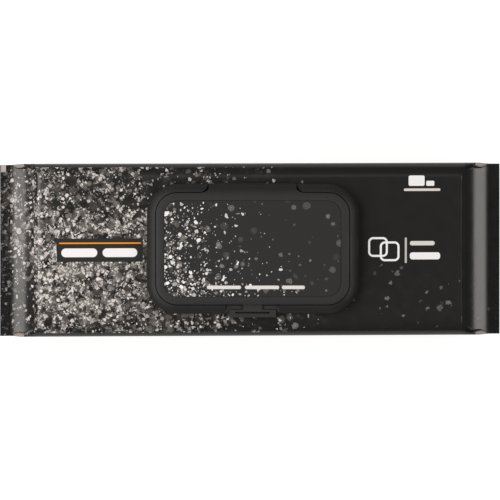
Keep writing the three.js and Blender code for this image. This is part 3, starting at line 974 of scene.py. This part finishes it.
def make_cap_lid():
    lid = add_cap_form("cap_lid_moulding", 0, cap_base)
    combine(lid, add_seam_form("plug", -seam_gap / 2, hinge_line, above_cap), "INTERSECT")
    under = add_cap_slab("under skirt", cap_size[0], 2 * cap_front, seam_rear - cap_wall,
                         cap_base - overcut, skirt_bottom)
    combine(lid, under, "DIFFERENCE")
    for side in (-1, 1):
        left, right = sorted((side * tongue_width / 2, side * cap_size[0]))
        beside = add_slab("beside tongue", (cap_middle_x + left, 2 * cap_front, cap_base - overcut),
                          (cap_middle_x + right, 2 * cap_size[1], skirt_bottom))
        combine(lid, beside, "DIFFERENCE")
    hollow = add_cap_form("hollow", cap_wall, cap_base - overcut)
    inner = add_seam_form("inner outline", -seam_gap / 2 - cap_wall, cap_base - overcut, above_cap)
    combine(hollow, inner, "INTERSECT")
    combine(lid, hollow, "DIFFERENCE")
    cut_swing_relief(lid)
    add_thumb_bar(lid)
    inside = seal_clearance + collar_wall
    seal_size = [side + 2 * inside for side in deck_mouth_size]
    seal = add_cap_ring("seal", seal_size, deck_mouth_radius + inside, seal_wall,
                        deck_top + contact_gap, cap_top - cap_wall / 2)
    combine(lid, seal, "UNION")
    seat_size = [side + 2 * contact_gap for side in label_size]
    seat = add_rounded_slab("seat", seat_size, label_radius + contact_gap,
                            cap_top - label_thickness - contact_gap, above_cap)
    combine(lid, seat, "DIFFERENCE")
    soften(lid, moulded_edge)
    shade(lid, 30)
    return lid


cap_lid = make_cap_lid()
give_finish(cap_lid, cap_black)
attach(cap_lid, "lid")
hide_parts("cap_lid")


# Living hinge
# A thin web of the same polypropylene, moulded in one with base and lid, that joins the base's rear edge to
# the lid's tongue and bends as the lid opens.
hinge_half_length = 0.0255
hinge_web_thickness = 0.00032
hinge_web_sunk = 0.4            # share of its thickness in front of the closure's rear face
hinge_web_low = cap_base + 0.0003
hinge_web_high = cap_base + 0.0031
hinge_web_rows = 14


def make_hinge_web():
    front = cap_size[1] / 2 - hinge_web_thickness * hinge_web_sunk
    web = add_cap_slab("hinge_web", hinge_half_length, front, front + hinge_web_thickness,
                       hinge_web_low, hinge_web_high)
    bpy.ops.object.mode_set(mode="EDIT")
    for row in range(1, hinge_web_rows):
        height = hinge_web_low + (hinge_web_high - hinge_web_low) * row / hinge_web_rows
        bpy.ops.mesh.select_all(action="SELECT")
        bpy.ops.mesh.bisect(plane_co=(0, 0, height), plane_no=(0, 0, 1))
    bpy.ops.object.mode_set(mode="OBJECT")
    soften(web, 0.0001)
    shade(web, 30)
    return web


hinge_web = make_hinge_web()
give_finish(hinge_web, cap_black)
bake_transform(hinge_web)


# Lid label
# A die-cut label of matte black film, glued into the lid's shallow seat and printed with the same flecks,
# here round and well apart, which thin out to the right, and a row of plain pale bars.
label_black = "#2c2c2b"
label_fleck_ink = "#ecebea"
label_bar_ink = "#d4d3d2"
label_bar_y = -0.0232
label_bar_height = 0.0021
label_edge = 0.00006
round_flecks = ((0.0086, 0.0012, 0.0025, 0.04, 0.34, 0.8, 1.2),
                (0.0061, 0.0008, 0.002, 0.06, 0.5, 0.7, 1.2),
                (0.0047, 0.0003, 0.0009, 0.1, 0.6, 0.0, 0.6))
clustered_flecks = ((0.0036, 0.0006, 0.0016, 0.25, 1.0, 0.2, 0.0),
                    (0.0027, 0.0003, 0.0009, 0.3, 1.0, 0.0, 0.0))
fine_flecks = ((0.0019, 0.0002, 0.0005, 0.15, 0.8, 0.0, 0.0),)


def print_label(tree, place):
    """The label's own flecks, thick in its left front corner, over a flat black."""
    split = add_node(tree, "SeparateXYZ", place).node
    drift = add_node(tree, "TexNoise", place, named={"Scale": 75.0, "Detail": 2.0}, noise_dimensions="2D")
    wander = add_node(tree, "MapRange", drift, 0.3, 0.7, -0.016, 0.016, clamp=False)
    lean = add_node(tree, "Math", split.outputs[1], 0.6, operation="MULTIPLY")
    along = add_node(tree, "Math", split.outputs[0], lean, operation="ADD")
    along = add_node(tree, "Math", along, wander, operation="ADD")
    thick = add_node(tree, "MapRange", along, -0.058, -0.02, 0.78, 0.0)
    thin = add_node(tree, "MapRange", along, -0.03, 0.03, 0.22, 0.17)
    density = add_node(tree, "Math", thick, thin, operation="ADD")
    rest = add_node(tree, "MapRange", along, -0.03, 0.02, 0.2, 0.0)
    dense = add_node(tree, "Math", thick, rest, operation="ADD")
    cluster = add_node(tree, "TexNoise", place, named={"Scale": 150.0, "Detail": 1.0}, noise_dimensions="2D")
    cluster = add_node(tree, "MapRange", cluster, 0.45, 0.6, 0.2, 1.5)
    bright = add_node(tree, "Math", dense, cluster, operation="MULTIPLY")
    rough = roughen_place(tree, place, 500.0, 0.0011)
    colour = add_node(tree, "RGB")
    colour.default_value = linear(label_black)
    colour = add_flecks(tree, colour, rough, density, dim_ink, round_flecks)
    colour = add_flecks(tree, colour, rough, bright, label_fleck_ink, clustered_flecks)
    return add_flecks(tree, colour, rough, dense, label_fleck_ink, fine_flecks)


def make_label_material():
    """Polypropylene label film with a matte varnish over the print."""
    made, tree = new_material("printed matte label film")
    place = add_node(tree, "TexCoord").node.outputs["Object"]
    place = add_node(tree, "VectorMath", place, (1, 1, 0), operation="MULTIPLY")
    colour = print_label(tree, place)
    for middle_x, length in ((-0.0155, 0.0205), (0.0074, 0.0205), (0.0262, 0.0138)):
        colour = add_bar(tree, colour, place, (middle_x, label_bar_y), (length, label_bar_height), 0.001,
                         label_bar_ink)
    grain = add_node(tree, "TexNoise", place, named={"Scale": 2400.0, "Detail": 1.0})
    bump = add_node(tree, "Bump", named={"Strength": 0.15, "Distance": 0.00005, "Height": grain})
    shader = add_node(tree, "BsdfPrincipled", named={
        "Base Color": colour, "Roughness": 0.3, "IOR": 1.5, "Specular IOR Level": 0.35, "Normal": bump})
    finish_material(tree, shader)
    return made


label = add_rounded_slab("label", label_size, label_radius, cap_top - label_thickness, cap_top)
label.name = "lid_print_label"
soften(label, label_edge)
shade(label, 30)
give_finish(label, make_label_material())
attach(label, "lid")
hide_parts("lid_label")


# Floor and light
# A pale studio table, white to the camera, which keeps the pack's soft shadow. Soft boxes stand at the left
# and right, about 50 degrees high, so the curved aprons mirror them and the flat faces stay dark. The left
# one is the larger, and a small lamp at the rear lights the closure's rim.
floor_size = 8
floor_gap = 0.0004
floor_grey = "#a0a09e"
floor_glow = 0.79
mirrored_glow = 0.2             # share of that glow that glossy faces see
lamp_colour = (1.0, 0.955, 0.92)
room_glow = 0.04


def make_table_material():
    """Matte pale grey board. It looks white to the camera, and fainter in the pack's glossy faces."""
    made, tree = new_material("pale studio table")
    path = add_node(tree, "LightPath").node
    mirrored = add_node(tree, "Math", path.outputs["Is Glossy Ray"], mirrored_glow, operation="MULTIPLY")
    seen = add_node(tree, "Math", path.outputs["Is Camera Ray"], mirrored, operation="MAXIMUM")
    seen = add_node(tree, "Math", seen, path.outputs["Is Transmission Ray"], operation="MAXIMUM")
    strength = add_node(tree, "Math", seen, floor_glow, operation="MULTIPLY")
    diffuse = add_node(tree, "BsdfDiffuse", linear(floor_grey))
    glow = add_node(tree, "Emission", (1, 1, 1, 1), strength)
    finish_material(tree, add_node(tree, "AddShader", diffuse, glow))
    return made


def make_stage():
    clear_selection()
    bpy.ops.mesh.primitive_plane_add(size=floor_size, location=(0, 0, -floor_gap))
    floor = name_piece("floor")
    bpy.ops.object.transform_apply(location=True)
    give_finish(floor, make_table_material())


def add_soft_box(name, place, size, power):
    """A rectangular lamp that faces the pack and isn't seen by the camera itself."""
    clear_selection()
    bpy.ops.object.light_add(type="AREA", location=place)
    lamp = bpy.context.object
    lamp.name = name
    lamp.data.shape = "RECTANGLE"
    lamp.data.size, lamp.data.size_y = size
    lamp.data.energy = power
    lamp.data.color = lamp_colour
    lamp.rotation_euler = (-Vector(place)).to_track_quat("-Z", "Y").to_euler()
    lamp.visible_camera = False


def make_room():
    """A dim room round the pack, which the camera sees as a white backdrop."""
    world = bpy.data.worlds.new("studio")
    bpy.context.scene.world = world
    world.use_nodes = True
    backdrop = world.node_tree.nodes["Background"]
    backdrop.inputs["Color"].default_value = (1, 1, 1, 1)
    to_camera = add_node(world.node_tree, "LightPath").node.outputs["Is Camera Ray"]
    brightness = add_node(world.node_tree, "MapRange", to_camera, 0.0, 1.0, room_glow, 1.0)
    world.node_tree.links.new(brightness, backdrop.inputs["Strength"])


make_stage()
add_soft_box("left soft box", (-0.66, 0.0, 0.78), (1.8, 0.63), 15.3)
add_soft_box("right soft box", (0.69, 0.0, 0.815), (0.6, 0.669), 5.85)
add_soft_box("rear lamp", (0, 0.36, 0.95), (0.3, 0.3), 0.12)
make_room()
bpy.context.scene.view_settings.view_transform = "Standard"
